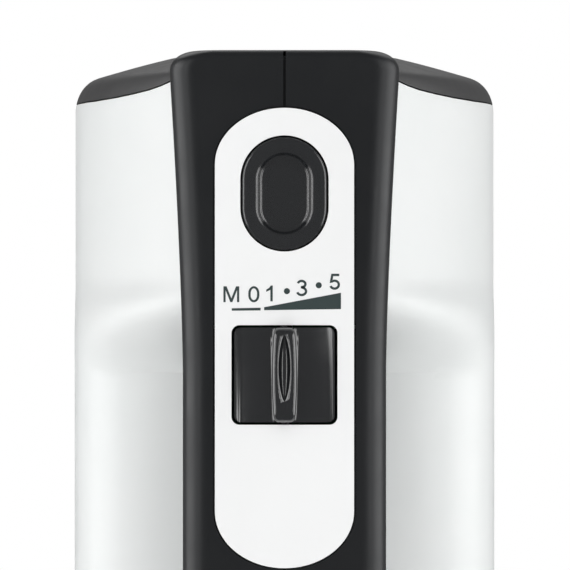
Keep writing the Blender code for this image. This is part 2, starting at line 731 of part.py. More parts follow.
def make_armature():
    axis = (0, AXIS_DEPTH, 0)
    centre = (0, AXIS_DEPTH)
    root = WORM_R - 1.3
    profile = [(0, 184), (SHAFT_R, 184), (SHAFT_R, 181), (root, 180.3)]
    profile += [(root, 147.5), (SHAFT_R, 147), (SHAFT_R, 15), (0, 15)]
    shaft = lathe("armature_shaft", profile, "Z", axis, "steel", steps=20)
    join(shaft, worm_thread())
    bore = circle(centre, SHAFT_R + GAP, 16)
    flat("armature_core", [toothed(centre, 12, 9, ROTOR_R, 0.35, 0.8), bore], "Z", *STACK_Z, "lamination")
    for name, low in (("rear", STACK_Z[0] - 5), ("front", STACK_Z[1] + GAP)):
        profile = [(3, 4.7), (10, 4.7), (11.5, 3.4), (11.5, 1.3), (10, 0), (3, 0)]
        lathe(f"winding_{name}", profile, "Z", (0, AXIS_DEPTH, low), "copper", steps=20, closed=True)
    sleeve("commutator", "Z", (0, AXIS_DEPTH, 33), 9, SHAFT_R + GAP, 11, "copper")
    fan = flat("cooling_fan", [circle(centre, 20.5, 32), bore], "Z", 110, 111.6, "inner_plastic")
    vanes = [toothed(centre, 9, 6, 20, 0.34, 0.11), bore]
    join(fan, flat("fan_vanes", vanes, "Z", 103, 110.6, group=CUTTERS))
    flat("rear_coupling", [toothed(centre, 6, 3.8, 5.5, 0.6, 0.45), bore], "Z", 13, 23, "steel")


def wheel_rings(side, depth):
    """A wheel's toothed outline and its bore, turned a little with depth to follow the worm's lead."""
    turn = 0.0 if side > 0 else pi / WHEEL_TEETH
    turn -= (depth - AXIS_DEPTH) * MODULE / (2 * WORM_R) / WHEEL_R
    outline = toothed((0, 0), WHEEL_TEETH, WHEEL_R - 1.4, WHEEL_R + 1, 0.45, 0.2, turn)
    bore = []
    for x, z in outline:
        inwards = (SPINDLE_R + GAP) / hypot(x, z)
        bore.append((x * inwards, z * inwards))
    return [[(side * SPINDLE_X + x, depth, SPINDLE_Z + z) for x, z in ring] for ring in (outline, bore)]


def make_gears():
    for side, name in ((-1, "left"), (1, "right")):
        x = side * SPINDLE_X
        outline, bore = wheel_rings(side, AXIS_DEPTH - 3)
        far_outline, far_bore = wheel_rings(side, AXIS_DEPTH + 3)
        rings = [bore, outline, far_outline, far_bore]
        wheel = loft(f"worm_wheel_{name}", rings, "nylon", closed=True)
        pivot(wheel, (x, AXIS_DEPTH, SPINDLE_Z))
        top, bottom = SPINDLE_DEPTHS
        sleeve(f"spindle_{name}", "Y", (x, top, SPINDLE_Z), SPINDLE_R, BORE_R, bottom - top, "steel")
        sleeve(f"spindle_bush_{name}", "Y", (x, 124, SPINDLE_Z), 8, SPINDLE_R + GAP, 6.5, "nylon")


def make_gearbox():
    tub = block("gearbox_housing", (-37.6, 84.3, 145.9), (37.6, 103, 182.1), "inner_plastic")
    hollow = block("tub_hollow", (-36.1, 80, 147.4), (36.1, 101.3, 180.6), group=CUTTERS)
    shaft = rod("tub_shaft_hole", "Z", (0, AXIS_DEPTH, 140), 3.7, 50, group=CUTTERS)
    cut(tub, hollow, shaft)
    holes = []
    for side, name in ((-1, "left"), (1, "right")):
        foot = (side * SPINDLE_X, 70, SPINDLE_Z)
        cut(tub, rod(f"tub_hole_{name}", "Y", foot, SPINDLE_R + GAP, 40, group=CUTTERS))
        holes.append(circle((side * SPINDLE_X, SPINDLE_Z), SPINDLE_R + GAP))
    outline = rounded((0, SPINDLE_Z), 36.3, 18, 7)
    flat("gearbox_cover", [outline, *holes], "Y", 81, 84, "inner_plastic")


# ---- Whisks ----


def wire_points(angle, tip):
    """One loop of wire: out of the hub, round the balloon and back on the other side."""
    corners = ((3.2, 207), (14, 228), (1.87 * WHISK_R, tip), (0, tip))
    half = [(point.x, point.y) for point in interpolate_bezier(*map(Vector, corners), 13)]
    whole = half + [(-r, depth) for r, depth in reversed(half[:-1])]
    return [(r * cos(angle), depth, r * sin(angle)) for r, depth in whole]


def make_whisks():
    top, bottom = STEM_DEPTHS
    for side, name in ((-1, "left"), (1, "right")):
        x = side * SPINDLE_X
        rod(f"whisk_stem_{name}", "Y", (x, top, SPINDLE_Z), BORE_R - 0.4, bottom - top, "steel", steps=20)
        profile = [(3.2, 8), (5.2, 8), (7.2, 2), (7.2, 0), (3.2, 0)]
        foot = (x, 145, SPINDLE_Z)
        lathe(f"whisk_collar_{name}", profile, "Y", foot, "anthracite_plastic", closed=True, steps=24)
        profile = [(0, 8), (3.6, 8), (4.8, 6.5), (4.8, 0), (0, 0)]
        wires = lathe(f"whisk_wires_{name}", profile, "Y", (x, bottom + GAP, SPINDLE_Z), "steel", steps=20)
        for k in range(2):
            curve = bpy.data.curves.new(f"loop_{name}_{k + 1}", "CURVE")
            curve.dimensions = "3D"
            curve.bevel_depth = WIRE_R * MM
            curve.bevel_resolution = 2
            curve.use_fill_caps = True
            angle = pi / 8 + k * pi / 2
            points = wire_points(angle, WHISK_TIP - WIRE_R - k * 2.7)
            spline = curve.splines.new("POLY")
            spline.points.add(len(points) - 1)
            for point, (across, depth, up) in zip(spline.points, points):
                point.co = (*at(x + across, depth, SPINDLE_Z + up), 1)
            join(wires, meshed(add_object(curve.name, curve, None, CUTTERS), None, CUTTERS))


# ---- Screws ----


def make_screws():
    for name, z in PLATE_SCREW_Z.items():
        profile = [(0, 14.2), (2.6, 14.2), (3, 13.4), (3, 12.6), (1.5, 12.6), (1.5, 0), (0, 0)]
        lathe(f"socket_screw_{name}", profile, "Y", (0, 130, z), "steel", steps=16)
    for name, z in HANDLE_SCREW_Z.items():
        profile = [(0, 18.9), (2.8, 18.9), (2.8, 17.6), (1.4, 17.6), (1.4, -12), (0, -12)]
        lathe(f"handle_screw_{name}", profile, "X", (0, HANDLE_SCREW_DEPTH, z), "steel", steps=16)


def main():
    make_materials()
    tools = make_cutters()
    make_shells(tools)
    make_nose_cap(tools)
    make_handle(tools)
    make_heel()
    make_port_shutter()
    make_panel()
    make_cord_inlet()
    make_socket_plate(tools)
    make_ejector()
    make_spring()
    make_selector()
    make_electronics()
    make_stator()
    make_brackets()
    make_brushes()
    make_armature()
    make_gears()
    make_gearbox()
    make_whisks()
    make_screws()


main()
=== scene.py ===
"""The looks of the two-whisk hand mixer, built round its CAD frame.

Shapes are written in millimetres, as width (X), depth (from the grip's outer face along +Y) and height (Z).
"""

import json
from math import cos, pi, radians, sin, sqrt

import bmesh
import bpy
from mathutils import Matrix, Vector
from mathutils.geometry import interpolate_bezier

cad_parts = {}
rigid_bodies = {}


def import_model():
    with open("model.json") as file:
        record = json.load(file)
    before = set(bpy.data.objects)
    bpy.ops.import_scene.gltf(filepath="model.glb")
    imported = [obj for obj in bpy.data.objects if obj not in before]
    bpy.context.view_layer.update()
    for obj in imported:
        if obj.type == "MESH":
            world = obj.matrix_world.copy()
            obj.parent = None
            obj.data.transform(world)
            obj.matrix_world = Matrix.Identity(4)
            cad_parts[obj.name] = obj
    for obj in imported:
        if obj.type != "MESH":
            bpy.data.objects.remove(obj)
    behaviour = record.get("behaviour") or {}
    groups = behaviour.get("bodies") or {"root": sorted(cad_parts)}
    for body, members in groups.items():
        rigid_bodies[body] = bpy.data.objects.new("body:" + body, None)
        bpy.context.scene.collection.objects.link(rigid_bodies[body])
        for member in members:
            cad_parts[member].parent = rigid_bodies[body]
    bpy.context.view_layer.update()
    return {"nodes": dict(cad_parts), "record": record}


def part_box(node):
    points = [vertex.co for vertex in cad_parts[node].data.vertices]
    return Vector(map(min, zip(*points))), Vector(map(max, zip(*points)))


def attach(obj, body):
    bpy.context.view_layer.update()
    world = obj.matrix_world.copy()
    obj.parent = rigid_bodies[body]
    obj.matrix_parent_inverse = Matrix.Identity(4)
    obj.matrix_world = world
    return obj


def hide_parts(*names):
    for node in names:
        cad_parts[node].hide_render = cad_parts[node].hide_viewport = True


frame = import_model()

MM = 0.001


def box_mm(node):
    """A CAD node's lowest and highest corner in millimetres."""
    low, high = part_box(node)
    return [value / MM for value in low], [value / MM for value in high]


def joint_mm(name):
    for joint in frame["record"]["behaviour"]["joints"]:
        if joint["name"] == name:
            return [value / MM for value in joint["pos_m"]]
    raise ValueError(name)


def depth_span(node):
    """Where a CAD node begins and ends in depth."""
    low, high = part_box(node)
    return low[1] / MM - GRIP_Y, high[1] / MM - GRIP_Y


# Places read from the frame
GRIP_Y = box_mm("handle_half_left")[0][1]
AXIS_DEPTH = joint_mm("armature_spin")[1] - GRIP_Y
SPINDLE_X = joint_mm("spindle_right_spin")[0]
SPINDLE_Z = joint_mm("spindle_right_spin")[2]
SELECTOR_DEPTH = joint_mm("selector_turn")[1] - GRIP_Y
SELECTOR_Z = joint_mm("selector_turn")[2]
PANEL_LOW, PANEL_HIGH = box_mm("control_panel")
PANEL_Z = (PANEL_LOW[2], PANEL_HIGH[2])
PANEL_HALF = PANEL_HIGH[0]
PANEL_FACE = PANEL_LOW[1] - GRIP_Y
PANEL_BACK = PANEL_HIGH[1] - GRIP_Y
NOSE_Z = box_mm("nose_cap")[1][2]
COLUMN_Z = (box_mm("handle_half_left")[0][2], box_mm("handle_half_left")[1][2])
COLUMN_BACK = box_mm("handle_half_left")[1][1] - GRIP_Y
SHELL_Z = box_mm("side_shell_left")[0][2]
HEEL_CAP_Z = (box_mm("heel_cap")[0][2], box_mm("heel_cap")[1][2])
WHISK_TIP = box_mm("whisk_wires_left")[1][1] - GRIP_Y

# Shape of the housing
GAP = 0.3
WALL = 2.2
BODY_POINTS = 160
BODY_HALF = 42.9
SADDLE_DEPTH = 62.0
NOSE_RISE_DEPTH = 14.0
HEEL_RISE_DEPTH = 22.0
BELLY_DEPTH = 122.0
GEAR_BELLY_DEPTH = 140.0
NOSE_ROUND_Z = 191.5
NOSE_CORNER = (5.5, 7.0)
NOSE_CORNER_END = 0.97
NOSE_SLOPE = 3.5
NOSE_TILT = 45.0
COLUMN_CORNER = (5.5, 4.0)
COLUMN_EDGE = 2.0
OPENING_Z = (38.0, 138.0)
RISE_LENGTH = 20.0
GRIP_HALF = 19.1
NOSE_FLARE = 2.4
GRIP_DEPTH = 31.0
CORNER = 5.0
CAVITY_HALF = 16.0
SKIN = 3.2
SHELL_SEAM_HALF = 0.17
GRIP_SEAM_HALF = 0.24
VENTS = 5
VENT_LOW_Z = 22
VENT_PITCH = 6

# Holes, as radii, and the places of the screws
PORT_RADIUS = 12
PAD_PORT_RADIUS = 14
SOCKET_RADIUS = 6.4
SCREW_HOLE = 1.8
SCREW_ROOM = 3.6
INLET_HOLE = 6.5
CORD_HOLE = 5.3
PLATE_SCREW_STEP = 10
HEEL_SCREW_X = 30

# Corners of a box that holds the whole housing, for cutters that run past it
FAR_LOW = (-60, -20, -10)
FAR_HIGH = (60, 160, 220)

# Ribs across the handle's hollow, as (depth, z) corners: two hold the selector's shaft, one the spring
HANDLE_RIBS = (((12.5, 126.0), (20.0, 129.5)), ((12.5, 149.5), (20.0, 153.0)), ((24.5, 158.0), (26.5, 200.0)))

# Controls, whisks and cord inlet, whose place is (depth, z)
PANEL_END = 10.6
BUTTON_Z = 173.4
BUTTON_HALF = (7.95, 10.55)
WINDOW_HALF = (9.9, 9.3)
DRUM_RADIUS = 15.2
DRUM_WALL = 2.2
DRUM_ANGLE = 62
HUB_RADIUS = 3.4
CAP_BACK = 14.4
CAP_CREST = 17.1
CAP_EDGE = 18.2
CAP_ANGLE = 31.0
SELECTOR_HALF_Z = 8.85
FIN_TIP = 19.5
FIN_HALF = 2.35
WHISK_RADIUS = 23.0
WIRE_RADIUS = 1.0
WIRE_POINTS = 40
CORD_INLET = (47.0, 22.0)

# Most of a noise texture's values lie between these
NOISE_RANGE = (0.3, 0.7)
ANTHRACITE = ((0.0095, 0.0105, 0.012), (0.0115, 0.0125, 0.014))


def at(x, depth, z):
    return Vector((x, depth + GRIP_Y, z)) * MM


def ease(value, start, end):
    t = min(max((value - start) / (end - start), 0.0), 1.0)
    return t * t * (3 - 2 * t)


# ---- Materials ----


class Nodes:
    """A material's node tree with short ways to add nodes and links."""

    def __init__(self, name):
        self.material = bpy.data.materials.new(name)
        self.material.use_nodes = True
        self.tree = self.material.node_tree
        self.shader = self.tree.nodes["Principled BSDF"]
        self.place = self.tree.nodes.new("ShaderNodeTexCoord").outputs["Object"]

    def set(self, **values):
        for name, value in values.items():
            self.shader.inputs[name.replace("_", " ")].default_value = value

    def stretched(self, scale):
        mapping = self.tree.nodes.new("ShaderNodeMapping")
        mapping.inputs["Scale"].default_value = scale
        self.tree.links.new(self.place, mapping.inputs["Vector"])
        return mapping.outputs["Vector"]

    def noise(self, scale, detail=4.0, place=None):
        node = self.tree.nodes.new("ShaderNodeTexNoise")
        node.inputs["Scale"].default_value = scale
        node.inputs["Detail"].default_value = detail
        self.tree.links.new(place or self.place, node.inputs["Vector"])
        return node.outputs["Fac"]

    def ramp(self, value, stops):
        node = self.tree.nodes.new("ShaderNodeValToRGB")
        elements = node.color_ramp.elements
        elements[0].position, elements[1].position = stops[0][0], stops[-1][0]
        elements[0].color, elements[1].color = stops[0][1], stops[-1][1]
        for position, colour in stops[1:-1]:
            elements.new(position).color = colour
        self.tree.links.new(value, node.inputs["Fac"])
        return node.outputs["Color"]

    def spread(self, value, low, high):
        node = self.tree.nodes.new("ShaderNodeMapRange")
        node.inputs["From Min"].default_value, node.inputs["From Max"].default_value = NOISE_RANGE
        node.inputs["To Min"].default_value = low
        node.inputs["To Max"].default_value = high
        self.tree.links.new(value, node.inputs["Value"])
        return node.outputs["Result"]

    def bump(self, value, strength, distance, under=None):
        node = self.tree.nodes.new("ShaderNodeBump")
        node.inputs["Strength"].default_value = strength
        node.inputs["Distance"].default_value = distance
        self.tree.links.new(value, node.inputs["Height"])
        if under:
            self.tree.links.new(under, node.inputs["Normal"])
        return node.outputs["Normal"]

    def feed(self, name, value):
        self.tree.links.new(value, self.shader.inputs[name])


def plastic(name, colours, rough, grain, height, specular=0.5):
    """Moulded plastic: slow mottling of colour and gloss over a fine moulded grain."""
    made = Nodes(name)
    dark, light = colours
    slow = made.noise(24.0, 3.0)
    made.feed("Base Color", made.ramp(slow, ((0.35, (*dark, 1)), (0.65, (*light, 1)))))
    made.feed("Roughness", made.spread(made.noise(140.0, 5.0), *rough))
    fine = made.bump(made.noise(grain, 2.0), 0.35, height)
    made.feed("Normal", made.bump(made.noise(30.0, 1.0), 0.08, height * 4, fine))
    made.set(Specular_IOR_Level=specular)
    return made.material


def metal(name, colour, rough, lines, depth=2e-6):
    """Metal with lines left by turning, rolling or drawing."""
    made = Nodes(name)
    marks = made.noise(1.0, 3.0, made.stretched(lines))
    paler = tuple(min(value * 1.08, 1) for value in colour)
    start, end = NOISE_RANGE
    made.feed("Base Color", made.ramp(marks, ((start, (*colour, 1)), (end, (*paler, 1)))))
    made.feed("Roughness", made.spread(made.noise(160.0, 4.0), *rough))
    made.feed("Normal", made.bump(marks, 0.3, depth))
    made.set(Metallic=1.0)
    return made.material


def make_materials():
    plastics = {
        "white": ("white_shell", ((0.785, 0.805, 0.80), (0.815, 0.83, 0.825)), (0.28, 0.36), 700, 2e-6, 0.15),
        "panel": ("white_panel", ((0.83, 0.835, 0.835), (0.85, 0.855, 0.855)), (0.16, 0.22), 700, 3e-6),
        "dark": ("anthracite", ANTHRACITE, (0.34, 0.44), 2600, 1.1e-5, 0.3),
        "gloss_dark": ("anthracite_gloss", ANTHRACITE, (0.14, 0.2), 2600, 3e-6, 1.0),
        "trim": ("grey_trim", ((0.037, 0.037, 0.038), (0.042, 0.042, 0.043)), (0.38, 0.48), 2200, 8e-6, 0.35),
        "rubber": ("rubber", ((0.018, 0.018, 0.018), (0.026, 0.026, 0.026)), (0.72, 0.86), 1800, 2e-5, 0.3),
        "inner": ("inner_plastic", ((0.42, 0.43, 0.42), (0.50, 0.51, 0.50)), (0.4, 0.55), 1500, 8e-6),
        "print": ("scale_print", ((0.032, 0.050, 0.050), (0.038, 0.056, 0.056)), (0.4, 0.5), 3000, 2e-6, 0.3),
        "nylon": ("nylon", ((0.74, 0.71, 0.60), (0.80, 0.77, 0.67)), (0.4, 0.5), 1500, 6e-6),
        "board": ("board", ((0.02, 0.13, 0.05), (0.03, 0.17, 0.07)), (0.35, 0.5), 900, 8e-6),
        "carbon": ("carbon", ((0.02, 0.02, 0.02), (0.035, 0.035, 0.035)), (0.6, 0.75), 2400, 1e-5),
    }
    metals = {
        "steel": ("turned_steel", (0.62, 0.63, 0.65), (0.18, 0.3), (60, 4000, 4000)),
        "chrome": ("whisk_steel", (0.74, 0.75, 0.77), (0.07, 0.14), (900, 60, 900), 1e-6),
        "lamination": ("lamination", (0.30, 0.31, 0.33), (0.4, 0.55), (30, 30, 2600), 1e-5),
        "copper": ("copper", (0.66, 0.30, 0.14), (0.28, 0.4), (500, 500, 2200), 2e-5),
        "aluminium": ("aluminium", (0.70, 0.71, 0.72), (0.3, 0.42), (1800, 1800, 40)),
    }
    made = {name: plastic(*values) for name, values in plastics.items()}
    made.update((name, metal(*values)) for name, values in metals.items())
    return made


MATERIALS = make_materials()
TOOLS = bpy.data.collections.new("tools")
bpy.context.scene.collection.children.link(TOOLS)


# ---- Building helpers ----


def evaluated_mesh(obj):
    bpy.context.view_layer.update()
    graph = bpy.context.evaluated_depsgraph_get()
    return bpy.data.meshes.new_from_object(obj.evaluated_get(graph))


def link(obj, tool=False):
    (TOOLS if tool else bpy.context.scene.collection).objects.link(obj)
    return obj


def from_bmesh(name, shape, tool=False, angle=30):
    bmesh.ops.recalc_face_normals(shape, faces=shape.faces)
    mesh = bpy.data.meshes.new(name)
    shape.to_mesh(mesh)
    shape.free()
    mesh.shade_smooth()
    mesh.set_sharp_from_angle(angle=radians(angle))
    return link(bpy.data.objects.new(name, mesh), tool)


def loft(name, rings, tool=False, angle=30):
    """Closed rings of (x, depth, z) joined by faces and capped."""
    shape = bmesh.new()
    rows = [[shape.verts.new(at(*point)) for point in ring] for ring in rings]
    count = len(rows[0])
    for lower, upper in zip(rows, rows[1:]):
        for k in range(count):
            following = (k + 1) % count
            shape.faces.new((lower[k], lower[following], upper[following], upper[k]))
    shape.faces.new(rows[0])
    shape.faces.new(rows[-1])
    if tool:
        bmesh.ops.triangulate(shape, faces=shape.faces)
    return from_bmesh(name, shape, tool, angle)


def solid(name, low, high):
    """A box to cut with, between two corners."""
    shape = bmesh.new()
    bmesh.ops.create_cube(shape, size=1.0)
    low, high = at(*low), at(*high)
    bmesh.ops.scale(shape, vec=high - low, verts=shape.verts)
    bmesh.ops.translate(shape, vec=(low + high) / 2, verts=shape.verts)
    return from_bmesh(name, shape, tool=True)


def turned(name, profile, axis, foot, steps=96, tool=False):
    """A turned piece from (radius, height) points; a point on the axis closes that end."""
    shape = bmesh.new()
    foot = at(*foot)
    rows = []
    for radius, height in profile:
        row = []
        for k in range(steps if radius else 1):
            turn = 2 * pi * k / steps
            a, b = radius * cos(turn) * MM, radius * sin(turn) * MM
            h = height * MM
            place = {"Z": (a, b, h), "Y": (a, h, -b), "X": (h, a, b)}[axis]
            row.append(shape.verts.new(foot + Vector(place)))
        rows.append(row)
    closed = bool(profile[0][0] and profile[-1][0])
    for first, second in zip(rows, rows[1:] + rows[:1] if closed else rows[1:]):
        for k in range(steps):
            following = (k + 1) % steps
            ring = [first[k % len(first)], first[following % len(first)]]
            ring += [second[following % len(second)], second[k % len(second)]]
            corners = list(dict.fromkeys(ring))
            if len(corners) > 2:
                shape.faces.new(corners)
    return from_bmesh(name, shape, tool)


def bore(name, radius, ends, axis, foot):
    """A round space between two heights along an axis."""
    start, end = ends
    return turned(name, [(0, start), (radius, start), (radius, end), (0, end)], axis, foot, tool=True)


def extruded(name, outlines, axis, low, high, tool=False, angle=30):
    """Flat outlines, the first outer and the rest holes, made thick along an axis."""
    curve = bpy.data.curves.new(name, "CURVE")
    curve.dimensions = "2D"
    curve.fill_mode = "BOTH"
    curve.extrude = (high - low) / 2 * MM
    shift = {"Z": (0, GRIP_Y), "Y": (0, 0), "X": (GRIP_Y, 0)}[axis]
    for outline in outlines:
        spline = curve.splines.new("POLY")
        spline.points.add(len(outline) - 1)
        for point, (a, b) in zip(spline.points, outline):
            point.co = ((a + shift[0]) * MM, (b + shift[1]) * MM, 0, 1)
        spline.use_cyclic_u = True
    drawn = link(bpy.data.objects.new(name + "_outline", curve), True)
    drawn.rotation_euler = {"Z": (0, 0, 0), "Y": (pi / 2, 0, 0), "X": (pi / 2, 0, pi / 2)}[axis]
    middle = (low + high) / 2
    middle += GRIP_Y if axis == "Y" else 0
    drawn.location = {"Z": (0, 0, middle * MM), "Y": (0, middle * MM, 0), "X": (middle * MM, 0, 0)}[axis]
    mesh = evaluated_mesh(drawn)
    mesh.transform(drawn.matrix_world)
    shape = bmesh.new()
    shape.from_mesh(mesh)
    bmesh.ops.remove_doubles(shape, verts=shape.verts, dist=1e-7)
    bpy.data.objects.remove(drawn)
    return from_bmesh(name, shape, tool, angle)


def arc(centre, radii, start, end, count):
    turns = [radians(start + (end - start) * k / count) for k in range(count + 1)]
    return [(centre[0] + radii[0] * cos(t), centre[1] + radii[1] * sin(t)) for t in turns]


def circle(centre, radius, count=64):
    return arc(centre, (radius, radius), 0, 360, count)[:-1]


def oblong(centre, half_width, half_height, end, count=40):
    x, z = centre
    straight = half_height - end
    top = arc((x, z + straight), (half_width, end), 0, 180, count)
    return top + arc((x, z - straight), (half_width, end), 180, 360, count)


def rounded(centre, half_width, half_height, corner, count=10):
    x, z = centre
    points = []
    for k, (sx, sz) in enumerate(((1, 1), (-1, 1), (-1, -1), (1, -1))):
        middle = (x + sx * (half_width - corner), z + sz * (half_height - corner))
        points += arc(middle, (corner, corner), 90 * k, 90 * k + 90, count)
    return points


def apply(obj):
    """Turns an object's modifiers into mesh."""
    mesh = evaluated_mesh(obj)
    obj.modifiers.clear()
    obj.data = mesh
    return obj


def combine(obj, operation, others):
    for other in others:
        made = obj.modifiers.new(operation.lower(), "BOOLEAN")
        made.operation = operation
        made.solver = "MANIFOLD"
        made.object = other
    return apply(obj)


def cut(obj, *others):
    return combine(obj, "DIFFERENCE", others)


def join(obj, *others):
    return combine(obj, "UNION", others)


def soften(obj, width, segments=3, angle=35):
    """Rounds the edges sharper than an angle."""
    made = obj.modifiers.new("edges", "BEVEL")
    made.width = width * MM
    made.segments = segments
    made.limit_method = "ANGLE"
    made.angle_limit = radians(angle)
    made.harden_normals = True
    return apply(obj)


def sharpen(obj, angle=30):
    obj.data.shade_smooth()
    obj.data.set_sharp_from_angle(angle=radians(angle))
    return obj


def finish_piece(obj, material, body, slot, *nodes):
    """Gives a new piece its material and its body, and hides the CAD nodes that it stands for. The slot is
    not used.
    """
    obj.data.materials.clear()
    obj.data.materials.append(MATERIALS[material])
    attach(obj, body)
    if nodes:
        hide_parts(*nodes)
    return obj


# ---- Housing ----


def nose_inset(z):
    """How far the body has drawn in towards the nose: round a corner, then up a shallow slope."""
    inset, height = NOSE_CORNER
    up = max((z - NOSE_ROUND_Z) / height, 0.0)
    corner = inset * (1 - sqrt(1 - min(up, NOSE_CORNER_END) ** 2))
    return corner + NOSE_SLOPE * height * max(up - NOSE_CORNER_END, 0.0)


def body_ring(z, inset=0.0):
    """The motor body's section: a boxy waist that rises into a bell at the heel and at the nose."""
    rear, front = OPENING_Z
    saddle = ease(z, rear - RISE_LENGTH, rear) * (1 - ease(z, front, front + RISE_LENGTH))
    rise = HEEL_RISE_DEPTH if z < (rear + front) / 2 else NOSE_RISE_DEPTH
    belly = BELLY_DEPTH + (GEAR_BELLY_DEPTH - BELLY_DEPTH) * ease(z, 112, 140)
    drawn = nose_inset(z + inset)
    half = BODY_HALF - inset - drawn
    top = rise + (SADDLE_DEPTH - rise) * saddle + inset + NOSE_TILT * (drawn / nose_inset(NOSE_Z)) ** 3
    bottom = belly - inset - drawn
    deep = 1.9 + 1.5 * saddle
    wide = 1.05 + 2.35 * saddle
    ring = []
    for k in range(BODY_POINTS):
        angle = 2 * pi * (k + 0.5) / BODY_POINTS
        across, along = cos(angle), sin(angle)
        powers = (2.8, 2.8, bottom - AXIS_DEPTH) if along > 0 else (deep, wide, AXIS_DEPTH - top)
        side = 1 if across > 0 else -1
        x = side * half * abs(across) ** (2 / powers[1])
        depth = AXIS_DEPTH + (1 if along > 0 else -1) * powers[2] * abs(along) ** (2 / powers[0])
        ring.append((x, depth, z))
    return ring


def stations(low, high, step):
    count = max(int((high - low) / step), 1)
    return [low + (high - low) * k / count for k in range(count + 1)]


def body_loft(name, inset, low, high, step=2.5):
    """The body between two heights, with closer rings where the nose rounds in."""
    bend = min(high, NOSE_ROUND_Z)
    places = stations(low, bend, step) if low < bend else [low]
    if high > NOSE_ROUND_Z:
        places += stations(NOSE_ROUND_Z, high, 0.35)[1:]
    return loft(name, [body_ring(z, inset) for z in places], tool=True)


def top_round(z, height):
    """How far a quarter round has drawn in: 0 below it, and 1 at the column's top."""
    up = max((z - COLUMN_Z[1]) / height + 1, 0.0)
    return 1 - sqrt(1 - up**2)


def column_ring(z, grow=0.0):
    """The handle column's section, square behind and rounded on its outer face and at its top."""
    level, z = z, min(z, COLUMN_Z[1])
    behind = 1 - ease(z, COLUMN_Z[0], 22)
    half = GRIP_HALF + NOSE_FLARE * max((z - 140) / 55, 0) ** 1.4 + 1.2 * max((40 - z) / 30, 0) ** 2
    half += grow - COLUMN_CORNER[0] * top_round(z, COLUMN_CORNER[1])
    front = COLUMN_EDGE * top_round(z, COLUMN_EDGE) + 9 * behind**2 - grow
    corner = CORNER + grow
    points = arc((-half + corner, front + corner), (corner, corner), 180, 270, 18)
    points += arc((half - corner, front + corner), (corner, corner), 270, 360, 18)
    points += [(half, COLUMN_BACK + grow), (-half, COLUMN_BACK + grow)]
    return [(x, depth, level) for x, depth in points]


def column_loft(name, grow=0.0):
    """The column, or a space for it when grown, which then goes on over its top."""
    low, high = COLUMN_Z
    places = stations(low - grow, 190, 3.0) + stations(191, high - 2, 0.7)
    places += [high - 2 * (1 - sin(pi / 2 * k / 10)) for k in range(1, 11)]
    if grow > 0:
        places += [high + grow, 210]
    elif grow < 0:
        places = [z for z in places if z < high + grow] + [high + grow]
    return loft(name, [column_ring(z, grow) for z in places], tool=True)


def seam_outline(shift=0.0):
    """The line where the white shells end and the nose cap begins, as (x, z)."""
    half = [(0, 196), (22, 195.9), (24, 195.1), (26.4, 194.4), (29.8, 193.8)]
    half += [(33.6, 193.3), (38, 193), (46, 193)]
    return [(-x, z + shift) for x, z in reversed(half[1:])] + [(x, z + shift) for x, z in half]


def opening_loft():
    """The finger opening's space, flared at both sides so that the grip's edges are rounded."""
    rear, front = OPENING_Z
    flare, reach, back = 4.0, GRIP_HALF, 80
    rows = []
    for k in range(-9, 10):
        side = 1 if k > 0 else -1
        turn = pi / 2 * min(max(abs(k) - 1, 0) / 7, 1)
        x = side * (reach - flare + flare * sin(turn) + (8 if abs(k) == 9 else 0)) if k else 0.0
        spread = flare * (1 - cos(turn))
        corner = 13.0 + spread
        edge = GRIP_DEPTH - spread
        radii = (corner, corner)
        ring = [(back, rear - spread)]
        ring += arc((edge + corner, rear - spread + corner), radii, 270, 180, 16)
        ring += arc((edge + corner, front + spread - corner), radii, 180, 90, 16)
        ring += [(back, front + spread)]
        rows.append([(x, depth, z) for depth, z in ring])
    return loft("finger_opening", rows, tool=True)


def vent_spaces(side):
    made = []
    for k in range(VENTS):
        z = VENT_LOW_Z + VENT_PITCH * k
        across = sorted((side * 30, side * 50))
        slot_shape = rounded((104, z + 1.3), 8, 1.3, 1.25, 6)
        made.append(extruded(f"vent_{side}_{k}", [slot_shape], "X", *across, tool=True))
    return made


